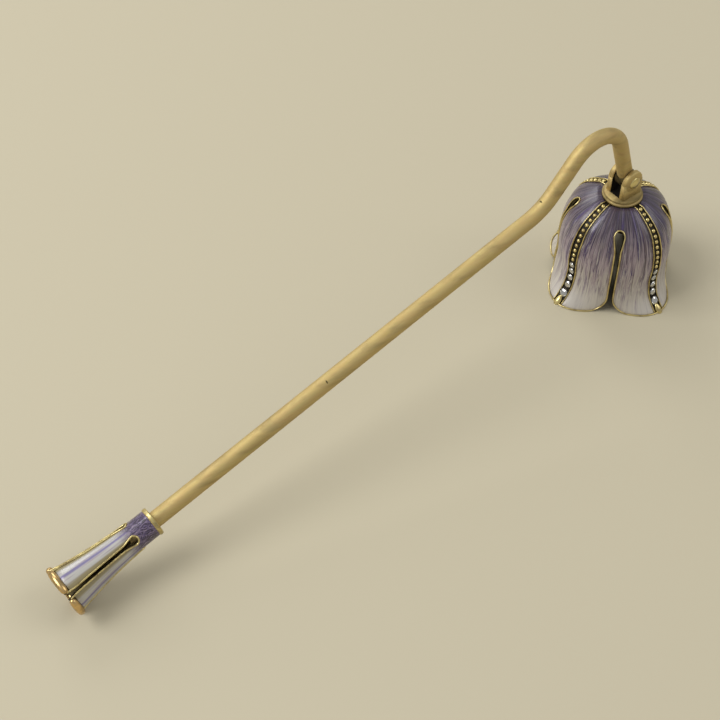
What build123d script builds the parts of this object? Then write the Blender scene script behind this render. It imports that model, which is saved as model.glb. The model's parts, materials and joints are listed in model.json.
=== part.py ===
from build123d import *
from math import cos, pi, radians, sin, tan
import os

# Candle snuffer: an enamelled bell of four petals swings on a hooked brass rod,
# whose other end carries a small enamelled flower that serves as the handle.
# Millimetres, +Z up. The origin is the centre of the bell's mouth on the table,
# and the handle points to -X. The ribs of the petals lie along X and Y.

# The bell
bell_height = 35.6  # table to the flat of the crown
bell_radius = 19.2  # over a rib, half way up
bell_wall = 1.5
enamel_depth = 0.5  # the recess that the enamel fills
line_height = 0.12  # how far the metal lines stand above the enamel
mouth_rim = 0.6  # metal left along the mouth
crown_rim = 0.4  # metal left along the crown
crown_rib_margin = 1.46  # from the fork's collar to the edge of the crown, over a rib
crown_slot_margin = 1.1
petal_count = 4
bell_sides = 24
outline_levels = 8  # steps from the mouth to the crown

# The slots between the petals
slot_top_drop = 5.3  # below the crown
slot_top_radius = 1.5
slot_neck_drop = 4.3  # below the top of the slot
slot_neck_width = 1.5
petal_corner_radius = 6.0
petal_corner_steps = 4
slot_rim = 0.6

# The band along each rib: two metal lines with a sunken channel between them
band_width = 3.8
band_crown_width = 2.6
band_taper_drop = 10.6  # where it starts to narrow, below the crown
band_line = 0.45

# The beads of the band, from the last crystal to the collar
bead_count = 12
bead_radius = 0.72
bead_root = 0.35  # below the floor of the channel
bead_rise = 0.2  # above the outline of the rib
bead_top_radius = 0.3
bead_sides = 6
bead_end_gap = 0.5  # from the last bead's centre to the end of the rib

# The crystals of each rib, the largest at the tip
crystal_margin = 0.25  # from the largest crystal's cup to the edge of the band
crystal_size_shares = (1, 0.86, 0.79, 0.75, 0.71)
crystal_tip_distance = 4.4  # along the rib, from the mouth
crystal_gap = 0.8
crystal_depth = 0.45
crystal_girdle = 0.1
crystal_crown = 0.4
stone_sides = 8  # also of their cups and of the rib's tip
table_share = 0.6
culet_share = 0.5
bezel_wall = 0.25
bezel_height = 0.18

# The tip at the end of each rib
tip_overhang = 0.9  # past the mouth
tip_height = 0.55
tip_length = 5.2
tip_thickness = 2.4
tip_place_shares = (0, 0.1, 0.45, 0.8, 1)
tip_radius_shares = (0.08, 0.25, 0.5, 0.42, 0.2)

# The pivot, its fork on the crown, and the screw that holds the fork
pivot_rise = 7.9  # above the crown
collar_radius = 6.6
collar_height = 1.9
collar_groove = 0.5
collar_step = 0.35
collar_sides = 24
ear_thickness = 1.9
ear_radius = 3.8
ear_edge = 0.45
rivet_radius = 1.3
rivet_head_radius = 2.0
rivet_head_height = 0.9
rivet_sides = 16
rivet_steps = 3  # up the dome of its head
screw_radius = 1.5
screw_head_radius = 2.75
screw_head_height = 1.7
screw_slot_width = 0.8
screw_slot_depth = 0.8
screw_head_edge = 0.5
screw_head_sides = 16
screw_short = 0.1  # its end stays below the floor of the fork

# The rod
rod_radius = 2.5
handle_slope = 13.6  # degrees, rod above the table's level
elbow_reach = 37.1  # from the pivot to where the straight rod would meet the rise
elbow_radius = 19.0
crest_corner_reach = 11.5
crest_corner_rise = 35.4  # above the pivot
crest_radius = 11.75
tongue_thickness = 3.8
tongue_length = 8.0
tongue_run_out = 2.5
eye_radius = 3.2

# The flower at the handle's end
flower_reach = 182.2  # from the pivot to the face of its collar
flower_length = 32.5
flower_collar_radius = 4.5
flower_collar_length = 1.3
flower_neck_step = 0.25  # from its collar in to its neck
flower_waist_radius = 4.92
flower_end_radius = 7.2
flower_wall = 1.1
flower_lip_radius = 1.15
flower_enamel_depth = 0.4
flower_line_height = 0.08
flower_enamel_end = 2.6  # metal left at the end of the petals
socket_depth = 9.0
socket_floor = 1.4
flower_sides = 20
flower_levels = 5  # steps along its side
lip_steps = 4  # round the outside of its rolled lip
keyhole_start = 8.2
keyhole_radius = 1.2
keyhole_neck = 11.5
keyhole_width = 1.3
keyhole_mouth_width = 3.2
keyhole_flare = 4.5  # how far from the end the keyhole starts to open
keyhole_rim = 0.5

# Fits
running_clearance = 0.06  # the eye on the rivet, all round
tongue_clearance = 0.15  # the tongue in the fork, on each side
seat_clearance = 0.03  # pieces that are soldered, set or screwed in place
overrun = 3.0  # how far cuts reach past what they cut

# The bell's outline from the mouth to just below the crown: heights as shares of its
# height, and its radius over a rib and over a slot as shares of its radius at the belly.
height_shares = (0, 0.124, 0.292, 0.497, 0.702, 0.885)
rib_radius_shares = (1.266, 1.073, 0.99, 1, 0.943, 0.75)
slot_radius_shares = (0.98, 0.969, 0.946, 0.955, 0.901, 0.716)

rib_angles = [360 * i / petal_count for i in range(petal_count)]
slot_angles = [angle + 180 / petal_count for angle in rib_angles]
rib_names = ("east", "north", "west", "south")
field_names = ("northeast", "northwest", "southwest", "southeast")
mouth_radius = bell_radius * rib_radius_shares[0]
reach = mouth_radius + overrun

# Places and sizes that follow from those above
slot_top_height = bell_height - slot_top_drop
slot_neck_height = slot_top_height - slot_neck_drop
band_taper_height = bell_height - band_taper_drop
pivot_height = bell_height + pivot_rise
fork_gap = tongue_thickness + 2 * tongue_clearance
crystal_diameter = band_width - 2 * (crystal_margin + bezel_wall)
bead_sink = enamel_depth + bead_root
flower_neck_radius = flower_collar_radius - flower_neck_step


os.makedirs("parts", exist_ok=True)


def side_line(radius_shares, crown_margin):
    """The bell's outline in the XZ plane, from the mouth to the edge of the crown."""
    points = [
        (radius_share * bell_radius, height_share * bell_height)
        for radius_share, height_share in zip(radius_shares, height_shares)
    ]
    with BuildLine(Plane.XZ) as line:
        Spline(*points, (collar_radius + crown_margin, bell_height))
    return line.edge()


rib_curve = side_line(rib_radius_shares, crown_rib_margin)
slot_curve = side_line(slot_radius_shares, crown_slot_margin)


def side_points(curve, inset):
    """Points up the bell's outline, moved in by inset, square to the rib at their height."""
    points = []
    for level in range(outline_levels + 1):
        share = level / outline_levels
        tangent = rib_curve % share
        points.append(curve @ share + Vector(-tangent.Z, 0, tangent.X) * inset)
    return points


def bell_rings(inset):
    """Points round the bell at each level, one lobe per petal, moved in by inset."""
    rings = []
    for rib, slot in zip(side_points(rib_curve, inset), side_points(slot_curve, inset)):
        ring = []
        for i in range(bell_sides):
            turn = 2 * pi * i / bell_sides
            place = slot + (rib - slot) * ((1 + cos(petal_count * turn)) / 2)
            ring.append(Vector(place.X * cos(turn), place.X * sin(turn), place.Z))
        rings.append(ring)
    return rings


def faceted(rings):
    """A solid of flat triangles between rings of as many points each, closed at both ends."""
    sides = len(rings[0])
    corners = []
    for lower, upper in zip(rings, rings[1:]):
        for i in range(sides):
            after = (i + 1) % sides
            corners.append((lower[i], lower[after], upper[after]))
            corners.append((lower[i], upper[after], upper[i]))
    faces = [Face(Wire.make_polygon(points)) for points in corners + [rings[0], rings[-1]]]
    return Solid(Shell(faces))


def side_plane(angle):
    """A plane through the bell's axis, its X round the bell, its Y up and its normal outward."""
    turn = radians(angle)
    return Plane(origin=(0, 0, 0), x_dir=(-sin(turn), cos(turn), 0), z_dir=(cos(turn), sin(turn), 0))


def slot_outline(grow):
    """The gap between two petals, widened all round by grow."""
    half_neck = slot_neck_width / 2
    round_corner = [(0, petal_corner_radius)]
    for step in range(petal_corner_steps + 1):
        turn = pi / 2 * step / petal_corner_steps
        across = half_neck + petal_corner_radius - (petal_corner_radius - grow) * cos(turn)
        round_corner.append((across, petal_corner_radius - (petal_corner_radius - grow) * sin(turn)))
    with BuildSketch() as outline:
        with Locations((0, slot_top_height)):
            Circle(slot_top_radius + grow)
        with Locations((0, slot_neck_height)):
            Circle(half_neck + grow)
        make_hull()
        with Locations((0, slot_neck_height / 2)):
            Rectangle(slot_neck_width + 2 * grow, slot_neck_height)
        with BuildLine():
            Polyline(*round_corner, (half_neck + petal_corner_radius, -overrun), (0, -overrun))
            mirror(about=Plane.YZ)
        make_face()
    return outline.sketch


def band_outline(narrowing):
    """The band along a rib, narrower on each side by narrowing."""
    wide = band_width / 2 - narrowing
    narrow = band_crown_width / 2 - narrowing
    with BuildSketch() as outline:
        with BuildLine():
            Polyline((0, -overrun), (wide, -overrun), (wide, band_taper_height))
            Polyline((wide, band_taper_height), (narrow, bell_height), (0, bell_height))
            mirror(about=Plane.YZ)
        make_face()
    return outline.sketch


def turned(points, sides, plane=Plane.XY):
    """A solid of flat triangles turned from points (radius, height) round the normal of a plane."""
    rings = []
    for radius, height in points:
        turns = [2 * pi * i / sides for i in range(sides)]
        corners = [Vector(radius * cos(turn), radius * sin(turn), height) for turn in turns]
        rings.append([plane.from_local_coords(corner) for corner in corners])
    return faceted(rings)


def square_plane(distance, depth):
    """A plane square to the rib that points to +X, at a distance along it and sunk by depth."""
    along = distance / rib_curve.length
    tangent = rib_curve % along
    outward = Vector(tangent.Z, 0, -tangent.X)
    return Plane(origin=rib_curve @ along - outward * depth, x_dir=(0, 1, 0), z_dir=outward)


# Where the crystals and the beads sit along a rib.
crystal_radii = [share * crystal_diameter / 2 for share in crystal_size_shares]
crystal_places = [crystal_tip_distance]
for inner, outer in zip(crystal_radii[1:], crystal_radii):
    crystal_places.append(crystal_places[-1] + outer + crystal_gap + inner)
first_bead = crystal_places[-1] + crystal_radii[-1] + crystal_gap + bead_radius
bead_pitch = (rib_curve.length - bead_end_gap - first_bead) / (bead_count - 1)
bead_places = [first_bead + bead_pitch * i for i in range(bead_count)]

# The forms that the bell, its recesses and its enamel share.
outer_form = faceted(bell_rings(0))
enamel_form = faceted(bell_rings(line_height))
recess_form = faceted(bell_rings(enamel_depth))
cavity_form = faceted(bell_rings(bell_wall))
cavity_top = side_points(rib_curve, bell_wall)[-1].Z

# One field for the enamel, between two ribs: what lies outside the recess form and between the lines.
petal_turn = radians(360 / petal_count)
with BuildPart() as field:
    with BuildSketch(Plane.XY.offset(mouth_rim)):
        corners = [(0, 0)]
        for share in (0, 0.5, 1):
            corners.append((2 * reach * cos(share * petal_turn), 2 * reach * sin(share * petal_turn)))
        Polygon(*corners, align=None)
    extrude(amount=bell_height - crown_rim - mouth_rim)
    add(recess_form, mode=Mode.SUBTRACT)
    for angle in rib_angles[:2]:
        with BuildSketch(side_plane(angle)):
            add(band_outline(0))
    with BuildSketch(side_plane(slot_angles[0])):
        add(slot_outline(slot_rim))
    extrude(amount=reach, mode=Mode.SUBTRACT)

# The slot that runs through it.
with BuildPart() as slot:
    with BuildSketch(side_plane(slot_angles[0])):
        add(slot_outline(0))
    extrude(amount=reach)

# The sunken channel of the rib that points to +X, its floor flat across.
floor_points = [(point.X, point.Z) for point in side_points(rib_curve, enamel_depth)]
with BuildPart() as channel:
    with BuildSketch(Plane.XZ):
        with BuildLine():
            Polyline(*floor_points, (0, bell_height), (0, bell_height + overrun))
            Polyline((0, bell_height + overrun), (reach, bell_height + overrun), (reach, -overrun))
            Polyline((reach, -overrun), (floor_points[0][0], -overrun), floor_points[0])
        make_face()
    extrude(amount=band_width, both=True)
    with BuildSketch(Plane.YZ):
        add(band_outline(band_line))
    extrude(amount=reach, mode=Mode.INTERSECT)

# The beads, the crystals' cups and the holes in them, on the rib that points to +X.
beads = []
for place in bead_places:
    foot = square_plane(place, bead_sink)
    beads.append(turned([(bead_radius, 0), (bead_top_radius, bead_sink + bead_rise)], bead_sides, foot))
cups, cup_holes = [], []
for place, radius in zip(crystal_places, crystal_radii):
    foot, floor = square_plane(place, bell_wall / 2), square_plane(place, crystal_depth)
    outer, inner = radius + bezel_wall, radius + seat_clearance
    cups.append(turned([(outer, 0), (outer, bell_wall / 2 + bezel_height)], stone_sides, foot))
    cup_holes.append(turned([(inner, 0), (inner, crystal_depth + overrun)], stone_sides, floor))

# The pointed tip of that rib, laid along the end of its curve.
tip_end = (mouth_radius + tip_overhang, 0, tip_height)
tip_plane = Plane(origin=tip_end, x_dir=(0, 1, 0), z_dir=rib_curve % 0)
tip_points = [
    (radius_share * tip_thickness, place_share * tip_length)
    for place_share, radius_share in zip(tip_place_shares, tip_radius_shares)
]
with BuildPart() as rib_tip:
    add(turned(tip_points, stone_sides, tip_plane))
    split(bisect_by=Plane.XY, keep=Keep.TOP)

# The bell's casting.
with BuildPart() as bell:
    add(outer_form)
    with PolarLocations(0, petal_count):
        add([field.part, slot.part, channel.part], mode=Mode.SUBTRACT)
    add(cavity_form, mode=Mode.SUBTRACT)
    with PolarLocations(0, petal_count):
        add([*beads, *cups, rib_tip.part])
    with PolarLocations(0, petal_count):
        add(cup_holes, mode=Mode.SUBTRACT)
    with BuildSketch(Plane.XY.offset(cavity_top - overrun)):
        Circle(screw_radius + seat_clearance)
    extrude(amount=bell_height, mode=Mode.SUBTRACT)
bell.part.label = "bell"
export_step(bell.part, "parts/bell.step")

# The enamel of each field, a little lower than the metal lines round it.
with BuildPart() as enamel:
    add(field.part)
    add(enamel_form, mode=Mode.INTERSECT)
for name, angle in zip(field_names, rib_angles):
    piece = enamel.part.rotate(Axis.Z, angle)
    piece.label = f"enamel_{name}"
    export_step(piece, f"parts/{piece.label}.step")


# The fork: a stepped collar on the crown with two ears that hold the pivot.
collar_top = bell_height + collar_height
collar_points = (
    (collar_radius - collar_step, bell_height),
    (collar_radius, bell_height + collar_step),
    (collar_radius, bell_height + collar_height / 2),
    (collar_radius - collar_groove, bell_height + collar_height / 2),
    (collar_radius - collar_groove, collar_top - collar_step),
    (collar_radius - collar_groove - collar_step, collar_top),
)
with BuildPart() as yoke:
    with BuildSketch(Plane.XZ.offset(fork_gap / 2)):
        with Locations((0, pivot_height)):
            Circle(ear_radius)
        with Locations((0, (bell_height + pivot_height) / 2)):
            Rectangle(2 * ear_radius, pivot_height - bell_height)
    extrude(amount=ear_thickness)
    outer_face = yoke.faces().filter_by(Axis.Y).sort_by(Axis.Y)[0]
    chamfer(outer_face.edges().filter_by(lambda edge: edge.center().Z > collar_top), ear_edge)
    mirror(about=Plane.XZ)
    add(turned(collar_points, collar_sides))
    with BuildSketch(Plane.XZ):
        with Locations((0, pivot_height)):
            Circle(rivet_radius + seat_clearance)
    extrude(amount=collar_radius, both=True, mode=Mode.SUBTRACT)
    with BuildSketch(Plane.XY.offset(bell_height)):
        Circle(screw_radius + seat_clearance)
    extrude(amount=collar_height, mode=Mode.SUBTRACT)
yoke.part.label = "yoke"
export_step(yoke.part, "parts/yoke.step")

# The screw that holds the fork, put in from inside the crown.
with BuildPart() as bell_screw:
    head_points = (
        (screw_head_radius - screw_head_edge, cavity_top - screw_head_height),
        (screw_head_radius, cavity_top - screw_head_height + screw_head_edge),
        (screw_head_radius, cavity_top),
    )
    add(turned(head_points, screw_head_sides))
    with BuildSketch(Plane.XY.offset(cavity_top)):
        Circle(screw_radius)
    extrude(amount=collar_top - screw_short - cavity_top)
    with BuildSketch(Plane.XY.offset(cavity_top - screw_head_height)):
        Rectangle(2 * screw_head_radius, screw_slot_width)
    extrude(amount=screw_slot_depth, mode=Mode.SUBTRACT)
bell_screw.part.label = "bell_screw"
export_step(bell_screw.part, "parts/bell_screw.step")

# The rivet through the ears and the rod's eye, with a domed head at each end.
rivet_reach = fork_gap / 2 + ear_thickness
dome_points = []
for step in range(rivet_steps + 1):
    turn = pi / 2 * step / (rivet_steps + 1)
    dome_points.append((rivet_head_radius * cos(turn), rivet_head_height * sin(turn)))
with BuildPart() as pivot_rivet:
    with BuildSketch(Plane.XZ):
        with Locations((0, pivot_height)):
            Circle(rivet_radius)
    extrude(amount=rivet_reach, both=True)
    add(turned(dome_points, rivet_sides, Plane(origin=(0, rivet_reach, pivot_height), z_dir=(0, 1, 0))))
    add(turned(dome_points, rivet_sides, Plane(origin=(0, -rivet_reach, pivot_height), z_dir=(0, -1, 0))))
pivot_rivet.part.label = "pivot_rivet"
export_step(pivot_rivet.part, "parts/pivot_rivet.step")

# The crystals, each a faceted brilliant in its cup, numbered from the tip of the petal.
girdle_place = crystal_depth + crystal_girdle
table_place = girdle_place + crystal_crown
for number, (place, radius) in enumerate(zip(crystal_places, crystal_radii), start=1):
    seat = square_plane(place, crystal_depth)
    stone_points = (
        (radius * culet_share, 0),
        (radius, crystal_depth),
        (radius, girdle_place),
        (radius * table_share, table_place),
    )
    stone = turned(stone_points, stone_sides, seat)
    for side_name, angle in zip(rib_names, rib_angles):
        crystal = stone.rotate(Axis.Z, angle)
        crystal.label = f"crystal_{side_name}_{number}"
        export_step(crystal, f"parts/{crystal.label}.step")

# The flower's side, an arc from its collar to the rolled lip of its petals.
lip_place = flower_length - flower_lip_radius
with BuildLine(Plane.XZ) as flower_line:
    ThreePointArc(
        (flower_neck_radius, flower_collar_length),
        (flower_waist_radius, (flower_collar_length + lip_place) / 2),
        (flower_end_radius, lip_place),
    )
flower_curve = flower_line.edge()


def flower_points(inset):
    """Points along the flower's side from its collar to its lip, moved in by inset."""
    points = [flower_curve @ (level / flower_levels) for level in range(flower_levels + 1)]
    return [(point.X - inset, point.Z) for point in points]


flower_outline = [(flower_collar_radius, 0), (flower_collar_radius, flower_collar_length)]
flower_outline += flower_points(0)[:-1]
for step in range(lip_steps + 1):
    turn = pi * (step / lip_steps - 1 / 2)
    radius = flower_end_radius + flower_lip_radius * cos(turn)
    flower_outline.append((radius, lip_place + flower_lip_radius * sin(turn)))

# The rod: a straight run up from the flower, a rise, a crest and a flat tongue with an eye.
slope = radians(handle_slope)
flower_height = max(height * sin(slope) + radius * cos(slope) for radius, height in flower_outline)
elbow_height = flower_height + (flower_reach - elbow_reach) * tan(slope)
handle_axis = Vector(-cos(slope), 0, -sin(slope))
flower_face = Vector(-flower_reach, 0, flower_height)
rod_start = flower_face + handle_axis * (socket_depth - seat_clearance)
pivot = Vector(0, 0, pivot_height)
crest_corner = Vector(-crest_corner_reach, 0, pivot_height + crest_corner_rise)
tongue_axis = (crest_corner - pivot).normalized()
with BuildPart() as handle_rod:
    with BuildLine() as path:
        FilletPolyline(
            rod_start,
            (-elbow_reach, 0, elbow_height),
            crest_corner,
            pivot,
            radius=(elbow_radius, crest_radius),
        )
    with BuildSketch(Plane(origin=rod_start, z_dir=path.line % 0)):
        Circle(rod_radius)
    sweep(path=path.line)
    with BuildSketch(Plane.XZ):
        with Locations((0, pivot_height)):
            Circle(eye_radius)
    extrude(amount=tongue_thickness / 2, both=True)
    with BuildSketch(Plane(origin=pivot, x_dir=tongue_axis, z_dir=tongue_axis.cross(Vector(0, 1, 0)))):
        with BuildLine():
            Polyline(
                (-eye_radius - overrun, tongue_thickness / 2),
                (tongue_length, tongue_thickness / 2),
                (tongue_length + tongue_run_out, rod_radius),
                (tongue_length + tongue_run_out, rod_radius + overrun),
                (-eye_radius - overrun, rod_radius + overrun),
                close=True,
            )
        make_face()
        mirror(about=Plane.XZ)
    extrude(amount=eye_radius + overrun, both=True, mode=Mode.SUBTRACT)
    with BuildSketch(Plane.XZ):
        with Locations((0, pivot_height)):
            Circle(rivet_radius + running_clearance)
    extrude(amount=tongue_thickness, both=True, mode=Mode.SUBTRACT)
handle_rod.part.label = "handle_rod"
export_step(handle_rod.part, "parts/handle_rod.step")


def keyhole_outline(grow):
    """The gap between two petals of the flower, widened all round by grow."""
    half_neck = keyhole_width / 2 + grow
    half_mouth = keyhole_mouth_width / 2 + grow
    with BuildSketch() as outline:
        with Locations((0, keyhole_start)):
            Circle(keyhole_radius + grow)
        with Locations((0, keyhole_neck)):
            Circle(half_neck)
        make_hull()
        with BuildLine():
            Polyline((0, keyhole_neck), (half_neck, keyhole_neck), (half_neck, flower_length - keyhole_flare))
            Line((half_neck, flower_length - keyhole_flare), (half_mouth, flower_length))
            Line((half_mouth, flower_length), (half_mouth, flower_length + overrun))
            Line((half_mouth, flower_length + overrun), (0, flower_length + overrun))
            mirror(about=Plane.YZ)
        make_face()
    return outline.sketch


# The flower is drawn upright, its collar's face at the origin and its petals along +Z,
# and is then laid along the rod with one petal down.
flower_plane = Plane(origin=flower_face, x_dir=(0, 1, 0), z_dir=handle_axis)
flower_reach_out = flower_end_radius + flower_lip_radius + overrun

with BuildPart() as flower_field:
    with BuildSketch(Plane.XY.offset(flower_collar_length)):
        Circle(flower_reach_out)
    extrude(amount=flower_length - flower_enamel_end - flower_collar_length)
    add(turned(flower_points(flower_enamel_depth), flower_sides), mode=Mode.SUBTRACT)
    for angle in slot_angles:
        with BuildSketch(side_plane(angle)):
            add(keyhole_outline(keyhole_rim))
    extrude(amount=flower_reach_out, mode=Mode.SUBTRACT)

hollow_end = (flower_end_radius - flower_wall, flower_length + overrun)
with BuildPart() as flower_hollow:
    add(turned([*flower_points(flower_wall), hollow_end], flower_sides))
    split(bisect_by=Plane.XY.offset(socket_depth + socket_floor), keep=Keep.TOP)

with BuildPart() as handle_flower:
    add(turned(flower_outline, flower_sides))
    add([flower_field.part, flower_hollow.part], mode=Mode.SUBTRACT)
    for angle in slot_angles:
        with BuildSketch(side_plane(angle).offset(rod_radius)):
            add(keyhole_outline(0))
    extrude(amount=flower_reach_out, mode=Mode.SUBTRACT)
    with BuildSketch(Plane.XY):
        Circle(rod_radius + seat_clearance)
    extrude(amount=socket_depth, mode=Mode.SUBTRACT)
flower = handle_flower.part.moved(flower_plane.location)
flower.label = "handle_flower"
export_step(flower, "parts/handle_flower.step")

with BuildPart() as handle_enamel:
    add(flower_field.part)
    add(turned(flower_points(flower_line_height), flower_sides), mode=Mode.INTERSECT)
flower_enamel = handle_enamel.part.moved(flower_plane.location)
flower_enamel.label = "handle_enamel"
export_step(flower_enamel, "parts/handle_enamel.step")
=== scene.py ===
import json
from math import asin, cos, exp, hypot, pi, radians, sin, sqrt, tan

import bmesh
import bpy
from bpy.props import FloatProperty, FloatVectorProperty, IntProperty, PointerProperty
from bpy.types import Operator, Panel, PropertyGroup
from mathutils import Matrix, Vector


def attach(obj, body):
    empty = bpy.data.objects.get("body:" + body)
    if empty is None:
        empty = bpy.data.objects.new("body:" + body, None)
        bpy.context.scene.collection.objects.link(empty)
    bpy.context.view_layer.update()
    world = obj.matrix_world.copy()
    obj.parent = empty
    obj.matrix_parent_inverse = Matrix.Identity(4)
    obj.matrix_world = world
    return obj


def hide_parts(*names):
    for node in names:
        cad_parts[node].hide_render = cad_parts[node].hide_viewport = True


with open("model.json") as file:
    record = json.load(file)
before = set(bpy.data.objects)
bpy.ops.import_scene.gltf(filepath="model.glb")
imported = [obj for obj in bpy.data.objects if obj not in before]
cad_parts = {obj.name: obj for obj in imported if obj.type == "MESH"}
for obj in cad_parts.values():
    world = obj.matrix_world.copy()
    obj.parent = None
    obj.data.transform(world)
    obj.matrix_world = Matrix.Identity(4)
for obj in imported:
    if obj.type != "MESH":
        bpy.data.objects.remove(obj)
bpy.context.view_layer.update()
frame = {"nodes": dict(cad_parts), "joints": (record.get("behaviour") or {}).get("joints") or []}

bl_info = {
    "name": "Candle snuffer",
    "version": (1, 0, 0),
    "blender": (4, 5, 0),
    "location": "3D View > Sidebar > Snuffer",
    "description": "Builds the finished look of an enamelled candle snuffer over its CAD frame",
    "category": "Object",
}

# A flower-shaped brass bell, enamelled between raised lines and set with beads and
# crystals, hangs from a hooked brass rod whose other end is a small enamelled flower.
# Lengths are in metres. The bell's mouth stands on the floor round the origin.
MM = 0.001
PETALS = 4
PETAL_TURN = 2 * pi / PETALS
SLOT_TURN = PETAL_TURN / 2
PETAL_ANGLES = [PETAL_TURN * i for i in range(PETALS)]
HALF_PETALS = [(angle, flip) for angle in PETAL_ANGLES for flip in (1, -1)]
SIDE_NAMES = ("east", "north", "west", "south")
FIELD_NAMES = ("northeast", "northwest", "southwest", "southeast")
PIVOT = Vector((0, 0, frame["joints"][0]["pos_m"][2]))
UP = Vector((0, 0, 1))
SIDEWAYS = Vector((0, 1, 0))


def size(name, millimetres, about):
    return FloatProperty(name=name, description=about, default=millimetres * MM, min=0, unit="LENGTH",
                         precision=5)


def linear(hex_colour):
    """Linear red, green and blue of an sRGB hex colour."""
    shares = [int(hex_colour[i:i + 2], 16) / 255 for i in (1, 3, 5)]
    return tuple(c / 12.92 if c <= 0.04045 else ((c + 0.055) / 1.055) ** 2.4 for c in shares)


def colour(name, hex_colour, about):
    return FloatVectorProperty(name=name, description=about, subtype="COLOR", size=3, min=0, max=1,
                               default=linear(hex_colour))


class BellSizes(PropertyGroup):
    """The bell: its petals, its slots and what is set along its ribs."""
    height: size("Height", 35.6, "From the table to the flat of the crown")
    radius: size("Radius", 19.2, "Over a rib, half way up")
    wall: size("Wall", 1.5, "Thickness of the casting")
    recess: size("Recess", 0.45, "Depth of the metal under the enamel")
    slot_top: size("Slot top", 30.3, "Height of the centre of the slot's round top")
    slot_round: size("Slot round", 1.5, "Radius of the slot's round top")
    slot_neck: size("Slot neck", 26, "Height at which the slot has narrowed to its neck")
    slot_half: size("Slot half width", 0.75, "Half of the slot's width below its neck")
    petal_corner: size("Petal corner", 6, "Radius of a petal's corners at the mouth")
    rim: size("Rim", 0.52, "Width of the bright line along the petals' edges")
    rim_height: size("Rim height", 0.3, "How far that line stands proud")
    band: size("Band", 3.8, "Width of the band along a rib, over its two lines")
    band_crown: size("Band at the crown", 2.6, "Width of that band at the crown")
    band_taper: size("Band taper", 25, "Height above which the band narrows")
    line: size("Line", 0.4, "Width of the band's bright lines")
    line_height: size("Line height", 0.26, "How far those lines stand proud")
    bead: size("Bead", 0.7, "Radius of a bead")
    bead_sink: size("Bead sink", 0.32, "How deep a bead's centre lies under the rib")
    beads: IntProperty(name="Beads", description="Beads along each rib", default=12, min=1)
    crystal: size("Crystal", 2.8, "Diameter of the crystal at a petal's tip")
    crystal_start: size("Crystal start", 4.4, "From the mouth to that crystal's centre, along the rib")
    crystal_gap: size("Crystal gap", 0.8, "Between two crystals, and before the first bead")
    bezel: size("Bezel", 0.28, "Thickness of the collet round a crystal")
    tip_length: size("Tip length", 4.4, "Length of the pointed tip at the end of a rib")
    tip_width: size("Tip width", 2.3, "Width of that tip")
    tip_height: size("Tip height", 1.7, "Thickness of that tip")
    tip_overhang: size("Tip overhang", 0.9, "How far that tip may stand out past the mouth")
    collar: size("Collar", 6.6, "Radius of the fork's collar on the crown")


class FlowerSizes(PropertyGroup):
    """The small flower at the handle's end, measured from the face of its collar."""
    reach: size("Reach", 182.2, "From the pivot to the face of the collar")
    length: size("Length", 32.5, "From the face of the collar to the ends of the petals")
    collar_radius: size("Collar radius", 4.5, "Radius of the collar")
    collar_length: size("Collar length", 1.3, "Length of the collar")
    neck_radius: size("Neck radius", 4.25, "Radius behind the collar")
    waist_radius: size("Waist radius", 4.92, "Radius half way along the petals")
    end_radius: size("End radius", 7.2, "Radius at the middle of the rolled lips")
    lip: size("Lip", 1.15, "Radius of the rolled lips")
    wall: size("Wall", 1.1, "Thickness of the petals")
    recess: size("Recess", 0.3, "Depth of the metal under the enamel")
    slot_start: size("Slot start", 8.2, "Place of the centre of the slot's round start")
    slot_round: size("Slot round", 1.2, "Radius of the slot's round start")
    slot_neck: size("Slot neck", 11.5, "Place at which the slot has narrowed to its neck")
    slot_half: size("Slot half width", 0.5, "Half of the slot's width along its neck")
    slot_flare: size("Slot flare", 4.5, "Length at the end over which the slot opens")
    slot_mouth: size("Slot mouth", 1.1, "Half of the slot's width at the end of the petals")
    rim: size("Rim", 0.55, "Width of the bright line along the petals' edges")
    rim_height: size("Rim height", 0.3, "How far that line stands proud")
    enamel_end: size("Enamel end", 2.4, "Bright metal left at the end of each petal")


class ForkSizes(PropertyGroup):
    """The fork on the crown and the rivet through it."""
    collar_height: size("Collar height", 1.9, "Height of the stepped collar")
    collar_step: size("Collar step", 0.5, "How far its upper half stands in")
    collar_soft: size("Collar softness", 0.3, "How far the collar's edges are rounded")
    gap: size("Gap", 4.1, "Between the two ears")
    ear: size("Ear", 1.9, "Thickness of an ear")
    ear_radius: size("Ear radius", 3.8, "Radius of an ear's round end")
    ear_soft: size("Ear softness", 0.45, "How far the ears' edges are rounded")
    dome: size("Dome", 0.3, "How far the outside of an ear bulges")
    rivet: size("Rivet", 1.3, "Radius of the rivet")
    head_radius: size("Head radius", 2.05, "Radius of the rivet's heads")
    head: size("Head", 0.85, "Height of the rivet's heads")


class RodSizes(PropertyGroup):
    """The round rod: straight from the flower, a rise, a crest and a flat tongue."""
    radius: size("Radius", 2.5, "Radius of the rod")
    slope: FloatProperty(name="Slope", description="Angle of the straight rod above the table",
                         subtype="ANGLE", default=radians(13.6))
    elbow_reach: size("Elbow reach", 37.1, "From the pivot to the corner of the elbow")
    elbow_radius: size("Elbow radius", 19, "Radius of the bend at the elbow")
    crest_reach: size("Crest reach", 11.5, "From the pivot to the corner of the crest")
    crest_height: size("Crest height", 78.9, "Height of that corner")
    crest_radius: size("Crest radius", 11.75, "Radius of the bend at the crest")
    socket: size("Socket", 8.97, "How far the rod reaches into the flower")
    tongue: size("Tongue", 3.8, "Thickness of the flat tongue")
    tongue_length: size("Tongue length", 8, "Length of the flat from the pivot")
    run_out: size("Run-out", 2.5, "Length over which the flat runs out into the round")
    eye: size("Eye", 3.2, "Radius of the tongue's round end")
    nick: size("Nick", 0.7, "Radius of the small dark nicks in the rod")


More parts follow.
